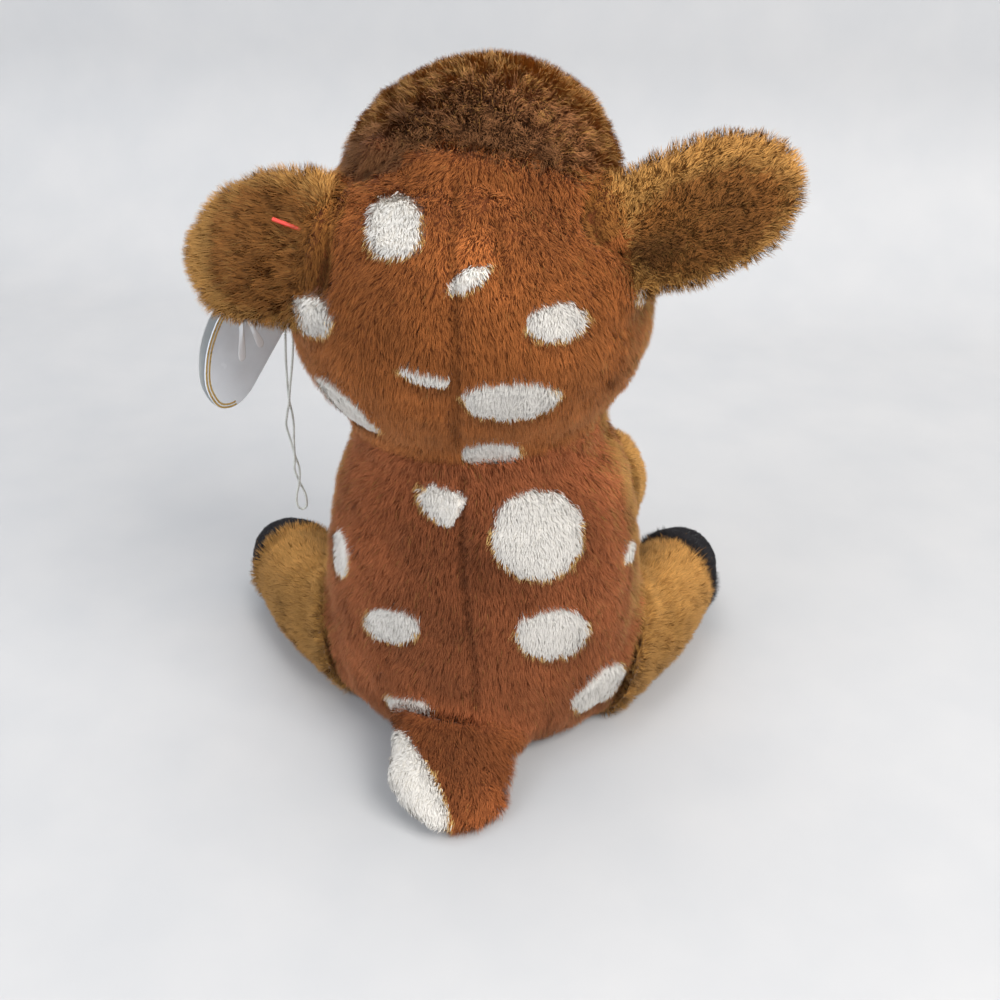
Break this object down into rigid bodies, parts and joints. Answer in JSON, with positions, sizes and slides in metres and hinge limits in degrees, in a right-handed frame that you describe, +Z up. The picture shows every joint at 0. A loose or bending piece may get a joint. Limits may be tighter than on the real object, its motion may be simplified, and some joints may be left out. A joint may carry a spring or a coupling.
{
  "type": "bean bag plush",
  "caption": "Seated spotted fawn soft toy with a weighted seat, stuffed limbs that flex at their seams, flapping ears, a leaf tail and a folded swing tag.",
  "frame": {"origin": "middle of the flat seat panel that the toy rests on", "axes": "+Z up; the toy faces -Y, so its left side is +X"},
  "size_m": [0.1828, 0.1537, 0.2048],
  "materials": {
    "rust_pile": "short rust-brown plush with white spots",
    "tan_pile": "short tan plush",
    "brown_pile": "longer dark brown plush",
    "cream_pile": "short cream plush",
    "black_velvet": "short black velvet",
    "linen": "plain woven cloth filled with pellets",
    "button_plastic": "polished, near black",
    "washer_plastic": "moulded, white",
    "barb_plastic": "moulded, red",
    "card": "coated card, pale lavender, with a gold foil edge",
    "cord": "twisted, pale grey-white"
  },
  "bodies": {
    "torso": {"body": "rust_pile", "belly_panel": "cream_pile", "seat_panel": "tan_pile", "bean_pouch": "linen"},
    "head": {"head": "rust_pile", "crown_tuft": "brown_pile", "muzzle": "cream_pile", "nose": "button_plastic", "nose_washer": "washer_plastic", "eye_left": "button_plastic", "eye_right": "button_plastic", "eye_washer_left": "washer_plastic", "eye_washer_right": "washer_plastic"},
    "ear_left": {"ear_left": "tan_pile", "ear_lining_left": "cream_pile", "tag_barb": "barb_plastic", "tag_string": "cord"},
    "ear_right": {"ear_right": "tan_pile", "ear_lining_right": "cream_pile"},
    "tag": {"tag_back": "card"},
    "tag_cover": {"tag_cover": "card"},
    "front_leg_left": {"front_leg_left": "tan_pile", "front_hoof_left": "black_velvet"},
    "front_leg_right": {"front_leg_right": "tan_pile", "front_hoof_right": "black_velvet"},
    "hind_leg_left": {"hind_leg_left": "tan_pile", "hind_hoof_left": "black_velvet"},
    "hind_leg_right": {"hind_leg_right": "tan_pile", "hind_hoof_right": "black_velvet"},
    "tail": {"tail": "rust_pile", "tail_lining": "cream_pile"}
  },
  "joints": [
    {"name": "neck_nod", "type": "hinge", "parent": "torso", "child": "head", "pos_m": [0, -0.003, 0.113], "axis": [1, 0, 0], "range_deg": [-4, 10]},
    {"name": "ear_left_flap", "type": "hinge", "parent": "head", "child": "ear_left", "pos_m": [0.03917, 0.0245, 0.16193], "axis": [-0.1063, -0.3549, 0.9288], "range_deg": [-4, 20]},
    {"name": "ear_right_flap", "type": "hinge", "parent": "head", "child": "ear_right", "pos_m": [-0.04097, 0.01, 0.16482], "axis": [0.2971, -0.3549, 0.8864], "range_deg": [-12, 25]},
    {"name": "tag_swing", "type": "hinge", "parent": "ear_left", "child": "tag", "pos_m": [0.0673, -0.022, 0.1385], "axis": [-0.7826, 0.6225, 0], "range_deg": [-10, 40]},
    {"name": "tag_fold", "type": "hinge", "parent": "tag", "child": "tag_cover", "pos_m": [0.06087, -0.03036, 0.12914], "axis": [0.4133, 0.5196, -0.7478], "range_deg": [-8, 110]},
    {"name": "front_leg_left_lift", "type": "hinge", "parent": "torso", "child": "front_leg_left", "pos_m": [0.034, -0.028, 0.071], "axis": [1, 0, 0], "range_deg": [-20, 0]},
    {"name": "front_leg_right_lift", "type": "hinge", "parent": "torso", "child": "front_leg_right", "pos_m": [-0.034, -0.028, 0.071], "axis": [1, 0, 0], "range_deg": [-20, 0]},
    {"name": "hind_leg_left_splay", "type": "hinge", "parent": "torso", "child": "hind_leg_left", "pos_m": [0.04794, -0.00409, 0.01859], "axis": [0, 0, 1], "range_deg": [-8, 8]},
    {"name": "hind_leg_right_splay", "type": "hinge", "parent": "torso", "child": "hind_leg_right", "pos_m": [-0.04597, -0.00964, 0.01859], "axis": [0, 0, 1], "range_deg": [-8, 8]},
    {"name": "tail_lift", "type": "hinge", "parent": "torso", "child": "tail", "pos_m": [0.002, 0.043, 0.015], "axis": [1, 0, 0], "range_deg": [0, 25]}
  ]
}
